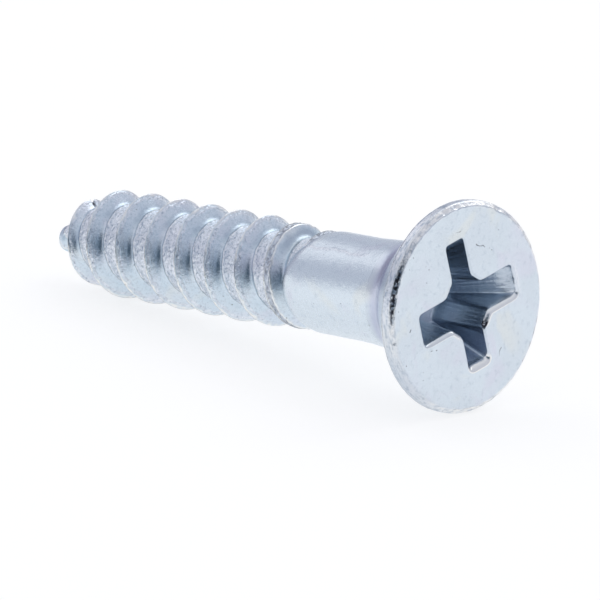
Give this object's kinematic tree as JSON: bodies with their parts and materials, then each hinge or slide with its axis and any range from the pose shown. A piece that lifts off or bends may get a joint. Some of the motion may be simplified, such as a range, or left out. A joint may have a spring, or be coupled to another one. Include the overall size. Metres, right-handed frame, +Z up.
{
  "type": "wood screw",
  "caption": "Countersunk wood screw with a cross recess, a plain shank, a coarse helical thread and a blunt tapered point, for fixing boards and fittings to timber.",
  "frame": {"origin": "centre of the flat head face, which is also the middle of the countersink's mouth when the screw is driven flush", "axes": "+X along the screw's axis out of the head, towards the driver; the point of the screw is at -X; +Z up as the screw lies, and Y sideways"},
  "size_m": [0.0318, 0.0114, 0.0114],
  "materials": {
    "zinc_plated_steel": "satin zinc plating with a clear blue passivate"
  },
  "bodies": {
    "root": {"head": "zinc_plated_steel", "shank": "zinc_plated_steel", "root_core": "zinc_plated_steel", "thread": "zinc_plated_steel", "point": "zinc_plated_steel"}
  },
  "joints": []
}
